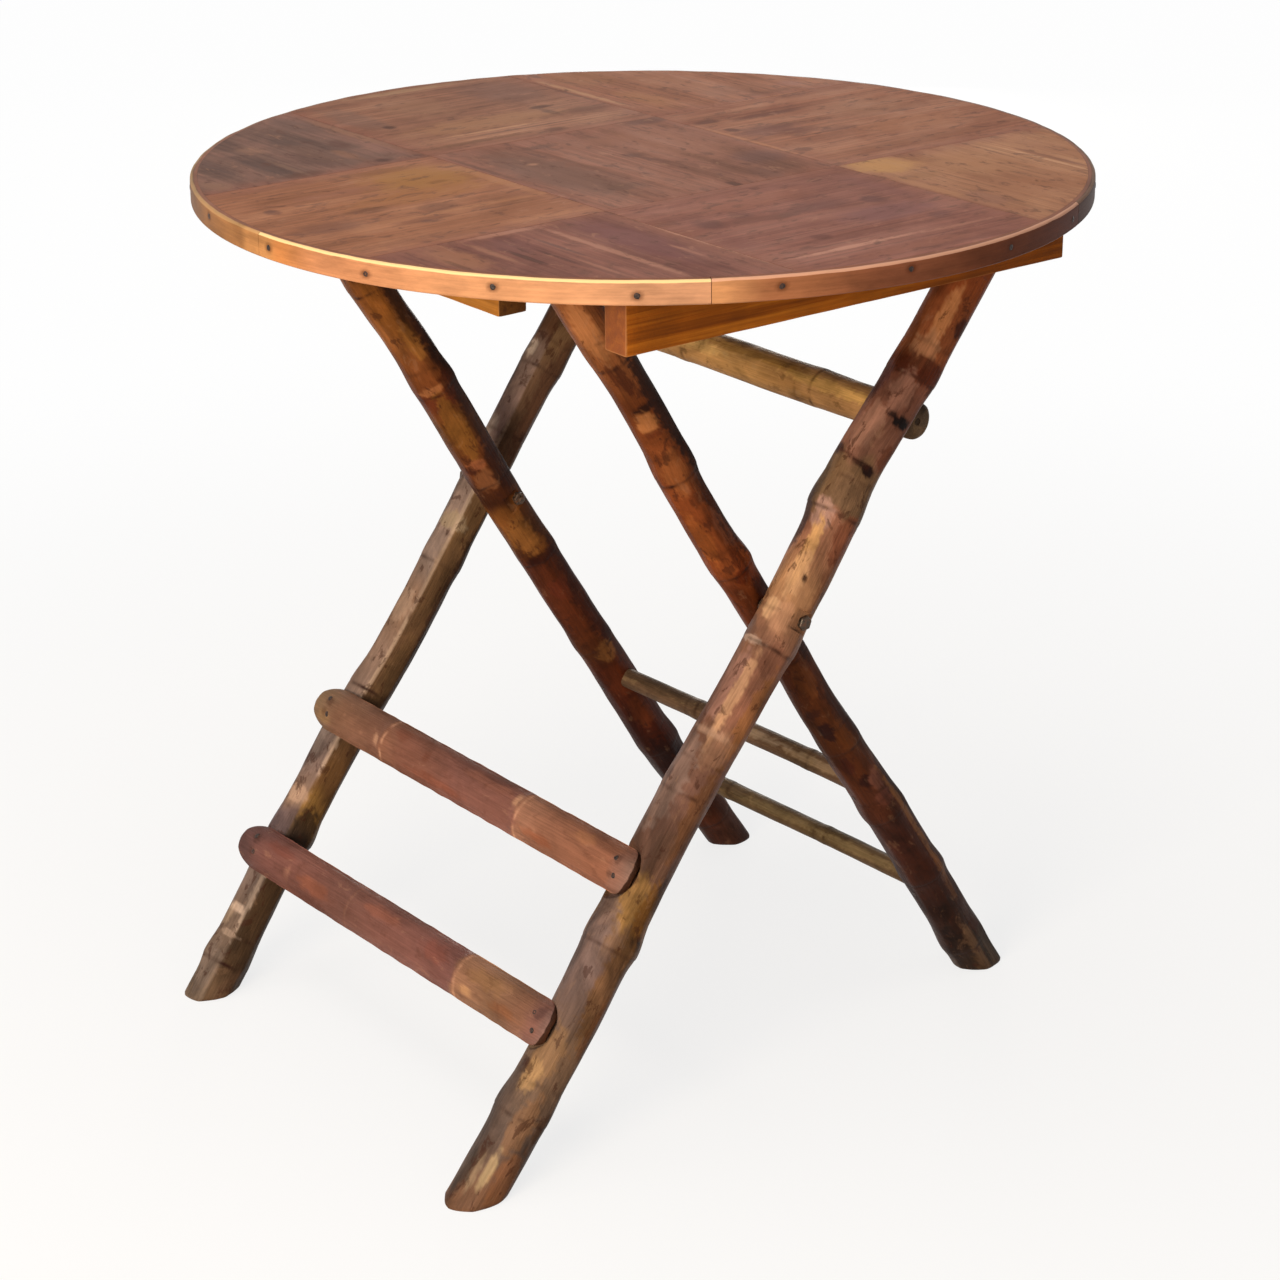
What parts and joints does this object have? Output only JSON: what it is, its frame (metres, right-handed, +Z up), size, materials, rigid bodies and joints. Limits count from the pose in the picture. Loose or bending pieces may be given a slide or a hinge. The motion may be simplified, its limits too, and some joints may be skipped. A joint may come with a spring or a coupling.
{
  "type": "bamboo folding table",
  "caption": "Round bamboo side table with a nailed rim on crossed pole legs that fold flat about a bolted scissor pivot as the top tilts up.",
  "frame": {"origin": "on the floor under the middle of the round top", "axes": "+Z up, +X from the stop-rail side to the hinge side, Y along the pivot axes, -Y towards the near side of the picture"},
  "size_m": [0.708, 0.706, 0.716],
  "materials": {
    "bamboo_pole": "satin",
    "bamboo_split": "satin",
    "bamboo_rod": "satin",
    "bamboo_veneer": "satin",
    "core_board": "matt",
    "bamboo_band": "satin",
    "softwood": "matt",
    "dark_iron": "matt",
    "bolt_steel": "satin"
  },
  "bodies": {
    "outer_frame": {"leg_outer_near": "bamboo_pole", "leg_outer_far": "bamboo_pole", "slat_upper": "bamboo_split", "slat_lower": "bamboo_split", "slat_nails": "dark_iron", "upper_stretcher": "bamboo_rod", "stretcher_nails": "dark_iron", "pivot_bolts": "bolt_steel", "pivot_nuts": "bolt_steel", "pivot_spacers": "bolt_steel", "hinge_screws": "bolt_steel"},
    "inner_frame": {"leg_inner_near": "bamboo_pole", "leg_inner_far": "bamboo_pole", "rung_upper": "bamboo_rod", "rung_lower": "bamboo_rod", "rung_nails": "dark_iron"},
    "table_top": {"top_board_left": "core_board", "top_board_middle": "core_board", "top_board_right": "core_board", "veneer_centre": "bamboo_veneer", "veneer_left": "bamboo_veneer", "veneer_right": "bamboo_veneer", "veneer_front": "bamboo_veneer", "veneer_back": "bamboo_veneer", "veneer_front_left": "bamboo_veneer", "veneer_front_right": "bamboo_veneer", "veneer_back_left": "bamboo_veneer", "veneer_back_right": "bamboo_veneer", "edge_bands": "bamboo_band", "edge_band_nails": "dark_iron", "batten_near": "softwood", "batten_far": "softwood", "batten_nails": "dark_iron", "stop_rail": "softwood", "rail_nails": "dark_iron"}
  },
  "joints": [
    {"name": "top_tilt", "type": "hinge", "parent": "outer_frame", "child": "table_top", "pos_m": [0.185, 0, 0.677], "axis": [0, 1, 0], "range_deg": [0, 112.2]},
    {"name": "leg_fold", "type": "hinge", "parent": "outer_frame", "child": "inner_frame", "pos_m": [-0.02096, 0, 0.40061], "axis": [0, 1, 0], "range_deg": [0, 66]}
  ],
  "couplings": [
    {"joint": "leg_fold", "follows": "top_tilt", "ratio": 0.588}
  ]
}
